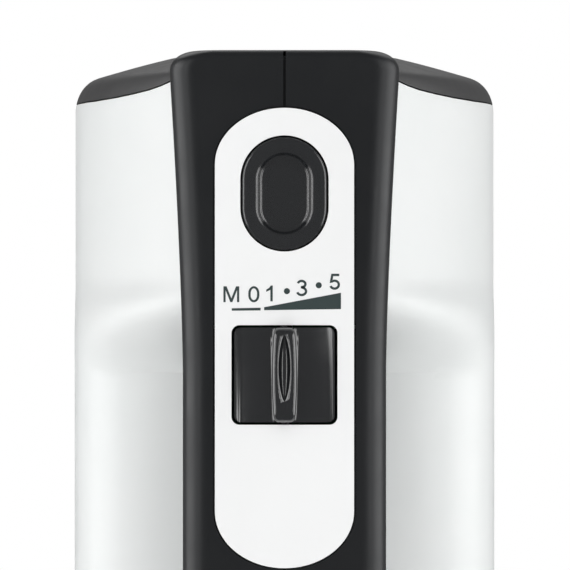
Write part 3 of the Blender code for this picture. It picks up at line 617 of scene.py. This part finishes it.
def make_housing():
    hollow = body_loft("body_hollow", WALL, HEEL_CAP_Z[1] - 3, NOSE_Z - WALL)
    column = column_loft("column_space", GAP)
    below_line = seam_outline(GAP) + [(46, 0), (-46, 0)]
    above_line = seam_outline() + [(46, 220), (-46, 220)]
    below = extruded("below_seam", [below_line], "Y", -10, 150, tool=True)
    above = extruded("above_seam", [above_line], "Y", -10, 150, tool=True)
    halves = {
        "left": (-1, solid("right_side", (0, *FAR_LOW[1:]), FAR_HIGH)),
        "right": (1, solid("left_side", FAR_LOW, (0, *FAR_HIGH[1:]))),
    }
    seam = solid("shell_seam", (-SHELL_SEAM_HALF, *FAR_LOW[1:]), (SHELL_SEAM_HALF, *FAR_HIGH[1:]))
    cut(seam, body_loft("seam_floor", 0.8, -12, NOSE_Z - 0.8))
    ends = (155, 115)
    screws = [bore(f"plate_screw_{z}", SCREW_HOLE, ends, "Y", (0, 0, z))
              for z in (SPINDLE_Z - PLATE_SCREW_STEP, SPINDLE_Z + PLATE_SCREW_STEP)]
    for name, (side, other) in halves.items():
        socket = bore(f"socket_{name}", SOCKET_RADIUS, ends, "Y", (side * SPINDLE_X, 0, SPINDLE_Z))
        spaces = [hollow, other, above, column, socket, seam, *vent_spaces(side), *screws]
        if name == "right":
            spaces.append(bore("inlet_space", INLET_HOLE, (50, 10), "X", (0, *CORD_INLET)))
        shell = body_loft(f"shell_{name}", 0, SHELL_Z, NOSE_Z, 1.5)
        link_again(shell, f"white_shell_{name}")
        sharpen(cut(shell, *spaces))
        finish_piece(shell, "white", "housing", "white_shell", f"side_shell_{name}")
    cap = body_loft("nose_trim", 0, 188, NOSE_Z, 1.5)
    link_again(cap, "nose_trim")
    sharpen(cut(cap, hollow, below, column))
    finish_piece(cap, "trim", "housing", "trim", "nose_cap")
    make_handle(halves)
    make_heel()
    make_socket_plate(screws)


def link_again(obj, name):
    """Moves a helper into the scene as a piece."""
    TOOLS.objects.unlink(obj)
    obj.name = name
    bpy.context.scene.collection.objects.link(obj)


def panel_outline(grow=0.0):
    middle = (0, (PANEL_Z[0] + PANEL_Z[1]) / 2)
    half = (PANEL_Z[1] - PANEL_Z[0]) / 2
    return oblong(middle, PANEL_HALF + grow, half + grow, PANEL_END + grow)


def button_outline(grow=0.0, count=40):
    half_width, half_height = BUTTON_HALF
    return oblong((0, BUTTON_Z), half_width + grow, half_height + grow, half_width + grow, count)


def make_handle(halves):
    cavity_line = [(SKIN, 14), (SKIN, 196), (66, 196), (66, 142), (GRIP_DEPTH - 3, 142)]
    cavity_line += [(GRIP_DEPTH - 3, 34.5), (66, 34.5), (66, 14)]
    cavity = extruded("handle_cavity", [cavity_line], "X", -CAVITY_HALF, CAVITY_HALF, tool=True)
    opening = opening_loft()
    seat = extruded("panel_seat", [panel_outline(GAP)], "Y", -5, PANEL_BACK + GAP, tool=True)
    hole = extruded("button_hole", [button_outline(GAP)], "Y", -5, 8, tool=True)
    low = (-CAVITY_HALF, PANEL_BACK + GAP / 2, SELECTOR_Z - WINDOW_HALF[1])
    window = solid("selector_space", low, (CAVITY_HALF, 8, SELECTOR_Z + WINDOW_HALF[1]))
    cut(cavity, *[solid(f"rib_{k}", (-20, *rib[0]), (20, *rib[1])) for k, rib in enumerate(HANDLE_RIBS)])
    seam = solid("grip_seam", (-GRIP_SEAM_HALF, *FAR_LOW[1:]), (GRIP_SEAM_HALF, 80, COLUMN_Z[1] - 0.25))
    cut(seam, column_loft("grip_seam_floor", -1.1))
    for name, (_, other) in halves.items():
        spaces = [cavity, opening, other, seat, hole, window, seam]
        if name == "right":
            spaces.append(bore("cord_hole", CORD_HOLE, (40, 10), "X", (0, *CORD_INLET)))
            for screw in ("front", "rear"):
                low, high = box_mm(f"handle_screw_{screw}")
                foot = (0, (low[1] + high[1]) / 2 - GRIP_Y, (low[2] + high[2]) / 2)
                well = [(0, 24), (3.2, 24), (3.2, 17.3), (1.7, 17.3), (1.7, 0), (0, 0)]
                spaces.append(turned(f"screw_well_{screw}", well, "X", foot, tool=True))
        half = column_loft(f"handle_{name}_part")
        link_again(half, f"handle_{name}")
        sharpen(cut(half, *spaces))
        finish_piece(half, "dark", "housing", "anthracite", f"handle_half_{name}")


def make_heel():
    low, high = HEEL_CAP_Z
    places = [(1.6, low), (0.7, low + 0.25), (0.2, low + 0.8), (0, low + 1.6)]
    rings = [body_ring(z, inset) for inset, z in places] + [body_ring(high)]
    cap = loft("heel_foot", rings, tool=True)
    link_again(cap, "heel_foot")
    hollow = loft("heel_hollow", [body_ring(z, WALL) for z in (low + 2, high + 3)], tool=True)
    ends = (12, -5)
    port = bore("port", PORT_RADIUS, ends, "Z", (0, AXIS_DEPTH, 0))
    spaces = [hollow, port, column_loft("heel_column", GAP + 0.01)]
    wells = [bore("pad_port", PAD_PORT_RADIUS, ends, "Z", (0, AXIS_DEPTH, 0))]
    for side in (-1, 1):
        place = (side * HEEL_SCREW_X, AXIS_DEPTH, 0)
        spaces.append(bore(f"screw_hole_{side}", SCREW_HOLE, ends, "Z", place))
        wells.append(bore(f"screw_room_{side}", SCREW_ROOM, ends, "Z", place))
    sharpen(cut(cap, *spaces))
    finish_piece(cap, "dark", "housing", "anthracite", "heel_cap")
    places = ((0, 2.6), (0.15, 2.2), (0.5, 2.0), (low - GAP, 2.0))
    pad = loft("heel_rubber", [body_ring(z, inset) for z, inset in places], tool=True)
    link_again(pad, "heel_rubber")
    sharpen(cut(pad, *wells))
    finish_piece(pad, "rubber", "housing", "rubber", "heel_pad")


def make_socket_plate(screws):
    low, high = box_mm("socket_plate")
    half = ((high[0] - low[0]) / 2, (high[2] - low[2]) / 2)
    outline = rounded((0, SPINDLE_Z), *half, half[1] - 1, 24)
    plate = extruded("socket_face", [outline], "Y", 125, high[1] - GRIP_Y)
    soften(plate, 0.9, 4)
    spaces = [body_loft("body_face", -GAP, 100, NOSE_Z), *screws]
    for side in (-1, 1):
        profile = [(0, 155), (7.4, 155), (7.4, 142.3), (6.0, 140.9), (6.0, 115), (0, 115)]
        foot = (side * SPINDLE_X, 0, SPINDLE_Z)
        spaces.append(turned(f"plate_hole_{side}", profile, "Y", foot, tool=True))
    sharpen(cut(plate, *spaces))
    finish_piece(plate, "trim", "housing", "trim", "socket_plate")


# ---- Controls ----


def make_panel():
    window = rounded((0, SELECTOR_Z), *WINDOW_HALF, 1.5)
    outlines = [panel_outline(), button_outline(GAP), window]
    panel = extruded("panel", outlines, "Y", PANEL_FACE, PANEL_BACK)
    low = (-12.4, 0.4, SELECTOR_Z - WINDOW_HALF[1] - 0.5)
    high = (12.4, 3.0, SELECTOR_Z + WINDOW_HALF[1] + 0.5)
    cut(panel, solid("panel_relief", low, high))
    soften(panel, 0.55, 5)
    finish_piece(panel, "panel", "housing", "panel", "control_panel")


def make_button():
    """The ejector button: a rounded rim round a dished recess."""
    face = box_mm("ejector_button")[0][1] - GRIP_Y
    rim = [(-1.8, 6.3), (-1.8, 4.4), (0, 4.3), (0, 0.7), (0.05, 0.42), (0.18, 0.18), (0.4, 0.05), (0.7, 0)]
    rim += [(1.4, 0), (2.3, 0.02), (2.7, 0.1), (2.95, 0.28), (3.12, 0.58), (3.25, 0.95), (3.45, 1.2)]
    rim += [(3.9, 1.36), (4.8, 1.42), (6.0, 1.45), (7.2, 1.46)]
    rings = [[(x, face + depth, z) for x, z in button_outline(-inset, 48)] for inset, depth in rim]
    button = loft("ejector_key", rings, angle=50)
    finish_piece(button, "gloss_dark", "ejector", "anthracite", "ejector_button")


def selector_point(radius, degrees):
    return (radius * sin(radians(degrees)), SELECTOR_DEPTH - radius * cos(radians(degrees)))


def fin_ring(z, drop=0.0):
    """The fin's outline at a height: a little wider in the middle, with rounded shoulders."""
    t = (z - SELECTOR_Z) / SELECTOR_HALF_Z
    half = FIN_HALF - 0.38 * t * t - 0.25 * drop
    tip = FIN_TIP - drop
    points = [(half + 0.1, CAP_CREST - 1.5), (half + 0.02, CAP_CREST + 0.1), (half - 0.04, tip - 1.0)]
    crest = 0.8
    turns = [pi * k / 12 for k in range(1, 7)]
    points += [(half - 0.84 + crest * cos(turn), tip - crest + crest * sin(turn)) for turn in turns]
    ring = [(x, SELECTOR_DEPTH - r) for x, r in points]
    return [(x, depth, z) for x, depth in ring] + [(-x, depth, z) for x, depth in reversed(ring)]


def cap_radius(degrees):
    """The selector's face, a little flatter than a circle about its axis."""
    return CAP_CREST + (CAP_EDGE - CAP_CREST) * (degrees / CAP_ANGLE) ** 2


def make_selector():
    """The selector: an open drum on its shaft, a cap that shows in the window, and a fin."""
    inner = DRUM_RADIUS - DRUM_WALL
    points = [selector_point(DRUM_RADIUS, -DRUM_ANGLE + DRUM_ANGLE * k / 24) for k in range(49)]
    points += [selector_point(inner, DRUM_ANGLE - 2 * k) for k in range(24)]
    points += [selector_point(HUB_RADIUS, a) for a in range(40, 321, 10)]
    points += [selector_point(inner, -16 - 2 * k) for k in range(24)]
    low, high = SELECTOR_Z - SELECTOR_HALF_Z, SELECTOR_Z + SELECTOR_HALF_Z
    shaft = circle((0, SELECTOR_DEPTH), 1.8, 32)
    knob = extruded("selector_drum", [points, shaft], "Z", low + 0.3, high - 0.3)
    turns = [CAP_ANGLE * (k / 24 - 1) for k in range(49)]
    cap_points = [selector_point(cap_radius(turn), turn) for turn in turns]
    cap_points += [selector_point(CAP_BACK, CAP_ANGLE * (1 - k / 12)) for k in range(25)]
    cap = extruded("selector_cap", [cap_points], "Z", low, high, tool=True)
    half_width = CAP_EDGE * sin(radians(CAP_ANGLE))
    face = rounded((0, SELECTOR_Z), half_width, SELECTOR_HALF_Z, 1.2)
    corners = extruded("cap_corners", [face], "Y", -5, 8, tool=True)
    combine(cap, "INTERSECT", [corners])
    soften(cap, 0.6, 6, 50)
    join(knob, cap)
    drops = [(0.05, 1.5), (0.35, 0.75), (0.8, 0.3), (1.5, 0.06), (2.4, 0)]
    places = [(low + up, drop) for up, drop in drops]
    places += [(low + 2.4 + (high - low - 4.8) * k / 12, 0) for k in range(1, 12)]
    places += [(high - up, drop) for up, drop in reversed(drops)]
    fin = loft("selector_fin", [fin_ring(z, drop) for z, drop in places], tool=True)
    cut(fin, groove_space())
    join(knob, fin)
    sharpen(knob, 40)
    finish_piece(knob, "gloss_dark", "selector", "anthracite", "speed_selector")


def groove_space():
    """A lens-shaped hollow along the fin's crest."""
    rings = []
    length, count = 6.3, 20
    for k in range(count + 1):
        t = -1 + 2 * k / count
        t = max(min(t, 0.999), -0.999)
        width, deep = 1.12 * (1 - t * t) ** 0.7 + 0.01, 1.25 * (1 - t * t) ** 0.5 + 0.01
        z = SELECTOR_Z + 1.3 + length * t
        top = SELECTOR_DEPTH - FIN_TIP
        turns = [pi * j / 16 for j in range(17)]
        ring = [(width * cos(a), top + deep * sin(a), z) for a in turns]
        rings.append([(width, top - 3, z)] + ring + [(-width, top - 3, z)])
    return loft("fin_groove", rings, tool=True)


def printed(name, *outlines):
    """A printed mark standing a hair above the panel."""
    mark = extruded(name, outlines, "Y", PANEL_FACE - 0.03, PANEL_FACE + 0.05)
    finish_piece(mark, "print", "housing", "panel")


def ribbon(points, width):
    """The outline of a stroke of even width along a line."""
    points = [Vector(point) for point in points]
    steps = [(end - start).normalized() for start, end in zip(points, points[1:])]
    left, right = [], []
    for point, before, after in zip(points, steps[:1] + steps, steps + steps[-1:]):
        across = (before + after).orthogonal().normalized()
        across *= width / 2 / max(across.dot(before.orthogonal()), 0.5)
        left.append(tuple(point + across))
        right.append(tuple(point - across))
    return left + right[::-1]


def glyphs():
    """Each mark's shapes, as an outline and its holes, for capitals one unit high."""
    stroke = 0.15
    letter_m = [(0, 0), (0, 1), (0.2, 1), (0.5, 0.24), (0.8, 1), (1, 1), (1, 0), (0.86, 0), (0.86, 0.76)]
    letter_m += [(0.565, 0), (0.435, 0), (0.14, 0.76), (0.14, 0)]
    edges = ((0.35, 0.51, 0.44), (0.2, 0.37, 0.31))
    zero = [oblong((0.35, 0.5), half, high, end, 24) for half, high, end in edges]
    one = [(0.26, 0), (0.26, 0.73), (0, 0.6), (0, 0.74), (0.17, 0.84), (0.29, 1), (0.41, 1), (0.41, 0)]
    upper = arc((0.34, 0.735), (0.24, 0.2), 165, -60, 20) + [(0.3, 0.53)]
    lower = [(0.3, 0.545)] + arc((0.34, 0.28), (0.28, 0.235), 60, -165, 24)
    five = [(0.64, 0.925), (0.2, 0.925), (0.12, 0.5)] + arc((0.34, 0.31), (0.27, 0.25), 128, -160, 28)
    return {"M": [[letter_m]], "0": [zero], "1": [[one]], "5": [[ribbon(five, stroke)]],
            "3": [[ribbon(upper, stroke)], [ribbon(lower, stroke)]]}


def make_scale():
    """The scale over the selector: a pulse mark, off, and speeds rising along a wedge."""
    height = 2.95
    shapes = glyphs()
    marks = (("M", -11.4, 153.1), ("0", -6.75, 153.1), ("1", -3.4, 153.25))
    marks += (("3", 2.2, 154.3), ("5", 8.35, 155.45))
    for text, x, low in marks:
        for k, outlines in enumerate(shapes[text]):
            placed = [[(x + height * a, low + height * b) for a, b in outline] for outline in outlines]
            printed(f"print_{text}_{k + 1}", *placed)
    for k, (x, z) in enumerate(((0.45, 155.15), (6.4, 156.25))):
        printed(f"print_dot_{k + 1}", circle((x, z), 0.57, 32))
    printed("print_line", [(-9.85, 151.5), (-4.45, 151.55), (-4.45, 152.05), (-9.85, 151.95)])
    printed("print_wedge", [(-3.8, 151.6), (10.55, 151.8), (10.55, 154.85), (-3.8, 152.15)])


# ---- Whisks, inlet, shutter and screws ----


def wire_points(angle, tip):
    """One loop of wire: out of the hub, round the balloon and back on the other side."""
    corners = ((3.2, 207, 0), (14, 228, 0), (1.87 * WHISK_RADIUS, tip, 0), (0, tip, 0))
    half = [(point.x, point.y) for point in interpolate_bezier(*map(Vector, corners), WIRE_POINTS)]
    whole = half + [(-r, depth) for r, depth in reversed(half[:-1])]
    return [(r * cos(angle), depth, r * sin(angle)) for r, depth in whole]


def make_wire(name, k, x, body, node):
    curve = bpy.data.curves.new(name, "CURVE")
    curve.dimensions = "3D"
    curve.bevel_depth = WIRE_RADIUS * MM
    curve.bevel_resolution = 6
    curve.use_fill_caps = True
    points = wire_points(pi / 8 + k * pi / 2, WHISK_TIP - WIRE_RADIUS - k * 2.7)
    spline = curve.splines.new("POLY")
    spline.points.add(len(points) - 1)
    for point, (across, depth, up) in zip(spline.points, points):
        point.co = (*at(x + across, depth, SPINDLE_Z + up), 1)
    wire = link(bpy.data.objects.new(name, curve), True)
    mesh = evaluated_mesh(wire)
    bpy.data.objects.remove(wire)
    mesh.shade_smooth()
    loop = link(bpy.data.objects.new(name, mesh))
    finish_piece(loop, "chrome", body, "whisk_wire", node)


def make_whisks():
    for side, name in ((-1, "left"), (1, "right")):
        x = side * SPINDLE_X
        foot = (x, 0, SPINDLE_Z)
        body = f"whisk_{name}"
        low, high = box_mm(f"whisk_stem_{name}")
        radius = (high[0] - low[0]) / 2
        start, end = depth_span(f"whisk_stem_{name}")
        profile = [(0, end), (radius - 0.5, end), (radius, end - 0.5), (radius, start + 1.5)]
        profile += [(radius - 1.2, start), (0, start)]
        stem = turned(f"stem_{name}", profile, "Y", foot)
        finish_piece(stem, "chrome", body, "whisk_wire", f"whisk_stem_{name}")
        start = depth_span(f"whisk_collar_{name}")[0]
        profile = [(3.2, 8), (4.6, 8), (5.1, 7.7), (5.3, 7.1), (7.05, 2.4), (7.2, 1.8), (7.2, 0.5)]
        profile += [(6.9, 0), (3.2, 0)]
        collar = turned(f"collar_{name}", [(r, start + h) for r, h in profile], "Y", foot)
        finish_piece(collar, "dark", body, "anthracite", f"whisk_collar_{name}")
        start = depth_span(f"whisk_wires_{name}")[0]
        profile = [(0, 8), (2.6, 8), (3.8, 7.6), (4.7, 6.6), (4.8, 6.0), (4.8, 0.4), (4.4, 0), (0, 0)]
        hub = turned(f"hub_{name}", [(r, start + h) for r, h in profile], "Y", foot)
        finish_piece(hub, "chrome", body, "whisk_wire", f"whisk_wires_{name}")
        for k in range(2):
            make_wire(f"wire_{name}_{k + 1}", k, x, body, f"whisk_wires_{name}")
        start, end = depth_span(f"spindle_{name}")
        profile = [(5.1, end), (5.5, end - 0.4), (5.5, start + 0.4), (5.1, start), (3.5, start)]
        profile += [(3.3, start + 0.3), (3.3, end - 0.8), (4.1, end)]
        sleeve = turned(f"sleeve_{name}", profile, "Y", foot)
        finish_piece(sleeve, "steel", f"spindle_{name}", "steel", f"spindle_{name}")


def make_inlet():
    low = box_mm("cord_inlet")[0][0]
    profile = [(3.2, 12.9), (3.5, 13.4), (4.6, 13.5), (5.6, 13.2), (6.1, 12.5), (6.2, 11.6)]
    profile += [(5.7, 11.2), (5.7, 10.6), (6.2, 10.2), (6.2, 4.4), (5, 4.4), (5, 0), (3.2, 0)]
    inlet = turned("inlet_grommet", [(r, low + h) for r, h in profile], "X", (0, *CORD_INLET))
    finish_piece(inlet, "rubber", "housing", "rubber", "cord_inlet")


def make_shutter():
    low, high = box_mm("port_shutter")
    half = (high[0] - low[0]) / 2
    outline = rounded((0, AXIS_DEPTH), half, half, 2.5)
    plate = extruded("shutter_plate", [outline], "Z", low[2], high[2])
    soften(plate, 0.4, 3)
    bottom = low[2]
    dimple = [(0, bottom + 0.9), (3.6, bottom + 0.85), (4.7, bottom + 0.4), (5.0, bottom - 0.1)]
    dimple += [(5.0, bottom - 3), (0, bottom - 3)]
    sharpen(cut(plate, turned("shutter_dimple", dimple, "Z", (0, AXIS_DEPTH, 0), tool=True)))
    finish_piece(plate, "trim", "shutter", "trim", "port_shutter")


def screw(name, node, axis, foot, head_radius, head, shank_radius, shank, outward):
    """A domed screw with a cross recess. head and shank are the places where each ends along the axis."""
    top, under = head
    line = "XYZ".index(axis)
    dome = [(0, top), (head_radius * 0.6, top - 0.12 * outward), (head_radius * 0.9, top - 0.4 * outward)]
    dome += [(head_radius, top - 0.8 * outward), (head_radius, under), (shank_radius, under)]
    dome += [(shank_radius, shank), (0, shank)]
    made = turned(name, dome, axis, foot, steps=48, tool=True)
    link_again(made, name)
    for k, across in enumerate(i for i in range(3) if i != line):
        reach = [0.45, 0.45, 0.45]
        reach[line] = 1.1
        reach[across] = head_radius * 0.55
        middle = list(foot)
        middle[line] += top
        low = [m - r for m, r in zip(middle, reach)]
        high = [m + r for m, r in zip(middle, reach)]
        cut(made, solid(f"{name}_cross_{k}", low, high))
    sharpen(made)
    finish_piece(made, "steel", "housing", "steel", node)


def make_screws():
    for name, z in (("lower", SPINDLE_Z - PLATE_SCREW_STEP), ("upper", SPINDLE_Z + PLATE_SCREW_STEP)):
        node = f"socket_screw_{name}"
        low, top = depth_span(node)
        screw(f"plate_screw_{name}", node, "Y", (0, 0, z), 3.0, (top, top - 1.6), 1.5, low, 1)
    for side, name in ((-1, "left"), (1, "right")):
        node = f"heel_screw_{name}"
        low, high = box_mm(node)
        foot = (side * HEEL_SCREW_X, AXIS_DEPTH, 0)
        screw(f"foot_screw_{name}", node, "Z", foot, 3.0, (low[2], low[2] + 1.6), 1.5, high[2], -1)
    for name in ("front", "rear"):
        node = f"handle_screw_{name}"
        low, high = box_mm(node)
        foot = (0, (low[1] + high[1]) / 2 - GRIP_Y, (low[2] + high[2]) / 2)
        screw(f"grip_screw_{name}", node, "X", foot, 2.8, (high[0], high[0] - 1.3), 1.4, low[0], 1)


CARRIED = {
    "steel": (
        "rear_bearing", "front_bearing", "armature_shaft", "rear_coupling",
        "ejector_spring", "selector_shaft",
    ),
    "lamination": ("motor_stator", "armature_core", "rear_bracket", "front_bracket"),
    "copper": ("field_coil_upper", "field_coil_lower", "winding_rear", "winding_front", "commutator"),
    "carbon": ("carbon_brush_left", "carbon_brush_right"),
    "nylon": ("worm_wheel_left", "worm_wheel_right", "spindle_bush_left", "spindle_bush_right"),
    "inner": (
        "brush_holder_left", "brush_holder_right", "cooling_fan", "gearbox_housing", "gearbox_cover",
        "ejector_rod", "ejector_yoke", "suppression_capacitor", "terminal_block", "speed_slider",
    ),
    "board": ("control_board",),
    "aluminium": ("triac_heat_sink",),
}


def dress_carried_nodes():
    """Gives the inner CAD solids, which show as they are, their materials."""
    for name, nodes in CARRIED.items():
        for node in nodes:
            part = frame["nodes"][node]
            part.data.materials.clear()
            part.data.materials.append(MATERIALS[name])


# ---- Stage, light and camera ----


def make_stage():
    shape = bmesh.new()
    bmesh.ops.create_circle(shape, cap_ends=True, segments=96, radius=1.25)
    floor = from_bmesh("floor", shape)
    floor.location = (0, 0, -0.0002)
    made = Nodes("floor")
    start, end = NOISE_RANGE
    stops = ((start, (0.86, 0.86, 0.86, 1)), (end, (0.89, 0.89, 0.89, 1)))
    made.feed("Base Color", made.ramp(made.noise(6.0), stops))
    made.feed("Roughness", made.spread(made.noise(30.0), 0.6, 0.7))
    made.set(Emission_Color=(1, 1, 1, 1), Emission_Strength=0.43)
    floor.data.materials.append(made.material)
    floor.visible_glossy = False


def make_world(fill, reflected):
    """White to the camera, a softer even fill for the light, and a darker room in reflections."""
    world = bpy.data.worlds.new("studio")
    bpy.context.scene.world = world
    world.use_nodes = True
    tree = world.node_tree
    tree.nodes.clear()
    output = tree.nodes.new("ShaderNodeOutputWorld")
    path = tree.nodes.new("ShaderNodeLightPath")
    shown = None
    for strength, ray in ((fill, None), (reflected, "Is Glossy Ray"), (1.0, "Is Camera Ray")):
        background = tree.nodes.new("ShaderNodeBackground")
        background.inputs["Color"].default_value = (1, 1, 1, 1)
        background.inputs["Strength"].default_value = strength
        if ray is None:
            shown = background
            continue
        mix = tree.nodes.new("ShaderNodeMixShader")
        tree.links.new(path.outputs[ray], mix.inputs[0])
        tree.links.new(shown.outputs[0], mix.inputs[1])
        tree.links.new(background.outputs[0], mix.inputs[2])
        shown = mix
    tree.links.new(shown.outputs[0], output.inputs["Surface"])


def area_light(name, place, target, size, power):
    light = bpy.data.lights.new(name, "AREA")
    light.shape = "RECTANGLE"
    light.size, light.size_y = size
    light.energy = power
    lamp = link(bpy.data.objects.new(name, light))
    lamp.location = place
    lamp.rotation_euler = (Vector(target) - Vector(place)).to_track_quat("-Z", "Y").to_euler()
    return lamp


def make_lights():
    """Softboxes that light the surfaces, and cards at the sides that show in them."""
    middle = (0, -0.06, 0.14)
    make_world(0.36, 0.2)
    soft = [area_light("front", (0, -1.3, 0.35), middle, (1.0, 0.8), 4.0)]
    soft.append(area_light("front_high", (0, -0.75, 0.95), (0, -0.3, 0), (1.2, 0.5), 2.0))
    cards = []
    for side, name in ((-1, "left"), (1, "right")):
        soft.append(area_light(f"side_{name}", (side * 1.05, -0.25, 0.25), middle, (0.5, 1.2), 4.8))
        cards.append(area_light(f"card_{name}", (side * 1.1, -0.15, 0.25), middle, (1.0, 1.2), 13.0))
        cards.append(area_light(f"strip_{name}", (side * 0.75, -0.85, 0.3), middle, (0.2, 0.9), 2.2))
    for lamp in soft:
        lamp.visible_glossy = False
    for card in cards:
        card.visible_diffuse = False
    area_light("top", (0, 0.75, 1.1), (0, 0, 0), (1.4, 0.8), 5.0)


def make_camera():
    """Square on to the panel, close to its upper half."""
    distance, width, height = 0.93, 0.1065, 0.1563
    camera = bpy.data.cameras.new("camera")
    camera.sensor_width = 36.0
    camera.lens = 36.0 * distance / width
    camera.clip_start = 0.05
    holder = link(bpy.data.objects.new("camera", camera))
    holder.location = (0.0001, GRIP_Y * MM - distance, height)
    holder.rotation_euler = (pi / 2, 0, 0)
    bpy.context.scene.camera = holder


make_housing()
make_panel()
make_button()
make_selector()
make_scale()
make_whisks()
make_inlet()
make_shutter()
make_screws()
dress_carried_nodes()
for tool in list(TOOLS.objects):
    bpy.data.objects.remove(tool)
make_stage()
make_lights()
make_camera()
bpy.context.scene.view_settings.view_transform = "Standard"
